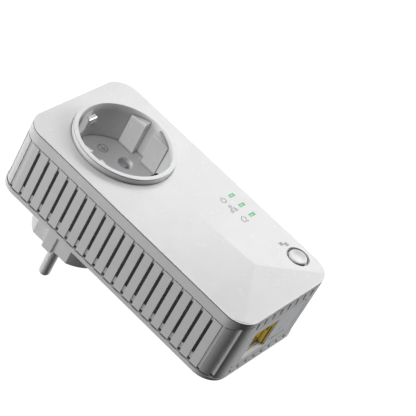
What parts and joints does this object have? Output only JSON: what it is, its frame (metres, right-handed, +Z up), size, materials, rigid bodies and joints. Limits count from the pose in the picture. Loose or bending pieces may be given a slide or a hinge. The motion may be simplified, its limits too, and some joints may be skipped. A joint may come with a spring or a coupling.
{
  "type": "powerline adapter",
  "caption": "Wall-plug powerline network adapter with a pass-through earthed socket, vented sides, network port, status lights and a pairing button.",
  "frame": {"origin": "centre of the plug's face, midway between its two pins", "axes": "+X right when facing the front, +Y into the wall along the pins, +Z up the case towards the socket end"},
  "size_m": [0.0592, 0.0746, 0.1192],
  "materials": {
    "white_shell": "fine matt moulded white",
    "socket_white": "satin white thermoplastic",
    "plug_white": "satin white thermoplastic",
    "button_white": "satin white cap",
    "shutter_grey": "mid grey moulding",
    "black_moulding": "black glass-filled moulding",
    "spring_steel": "bright spring steel",
    "nickel": "bright nickel plate",
    "pin_nickel": "satin nickel plate",
    "brass_strip": "stamped brass strip",
    "copper_link": "tinned copper link",
    "board_green": "green solder mask",
    "ferrite": "sintered ferrite grey",
    "capacitor_sleeve": "dark shrink sleeve",
    "varistor_blue": "blue epoxy dip",
    "chip_black": "moulded chip package",
    "can_metal": "drawn metal can",
    "heatsink_alu": "extruded aluminium fins",
    "led_green": "clear green diode body",
    "guide_green": "translucent green light guide",
    "jack_yellow": "yellow jack moulding",
    "gold_contact": "gold-plated spring wire",
    "screw_steel": "zinc-plated steel"
  },
  "bodies": {
    "case": {"front_cover": "white_shell", "vent_band": "white_shell", "port_panel": "white_shell", "back_cover": "white_shell", "screw_pillars": "white_shell", "case_screws": "screw_steel", "socket_insert": "socket_white", "earth_frame": "brass_strip", "shutter_spring": "spring_steel", "contact_carrier": "black_moulding", "line_contact_left": "brass_strip", "line_contact_right": "brass_strip", "plug_body": "plug_white", "plug_pin_left": "pin_nickel", "plug_pin_right": "pin_nickel", "plug_earth_strip_top": "nickel", "plug_earth_strip_bottom": "nickel", "main_board": "board_green", "feed_link_left": "copper_link", "feed_link_right": "copper_link", "transformer_core": "ferrite", "transformer_bobbin": "black_moulding", "bulk_capacitors": "capacitor_sleeve", "mains_choke": "ferrite", "fuse": "black_moulding", "varistor": "varistor_blue", "line_coupler": "ferrite", "modem_chip": "chip_black", "heatsink": "heatsink_alu", "ethernet_chip": "chip_black", "memory_chip": "chip_black", "crystal": "can_metal", "indicator_leds": "led_green", "light_guide": "guide_green", "jack_housing": "jack_yellow", "jack_contacts": "gold_contact", "tact_switch": "black_moulding"},
    "pair_button_body": {"pair_button": "button_white"},
    "switch_plunger_body": {"switch_plunger": "shutter_grey"},
    "shutter_body": {"shutter": "shutter_grey"},
    "earth_clip_top_body": {"earth_clip_top": "nickel"},
    "earth_clip_bottom_body": {"earth_clip_bottom": "nickel"}
  },
  "joints": [
    {"name": "pair_button_press", "type": "slide", "parent": "case", "child": "pair_button_body", "axis": [0, 1, 0], "range_m": [0, 0.0006], "stiffness_N_per_m": 1800, "springref_m": -0.0003},
    {"name": "plunger_travel", "type": "slide", "parent": "case", "child": "switch_plunger_body", "axis": [0, 1, 0], "range_m": [0, 0.0006]},
    {"name": "shutter_slide", "type": "slide", "parent": "case", "child": "shutter_body", "axis": [0, 0, 1], "range_m": [0, 0.0064], "stiffness_N_per_m": 160, "springref_m": -0.003, "deforming": ["shutter_spring"]},
    {"name": "earth_clip_top_flex", "type": "hinge", "parent": "case", "child": "earth_clip_top_body", "pos_m": [0, -0.03605, 0.0182], "axis": [-1, 0, 0], "range_deg": [0, 10], "stiffness_Nm_per_rad": 0.35},
    {"name": "earth_clip_bottom_flex", "type": "hinge", "parent": "case", "child": "earth_clip_bottom_body", "pos_m": [0, -0.03605, -0.0196], "axis": [1, 0, 0], "range_deg": [0, 10], "stiffness_Nm_per_rad": 0.35}
  ],
  "couplings": [
    {"joint": "plunger_travel", "follows": "pair_button_press", "ratio": 1}
  ]
}
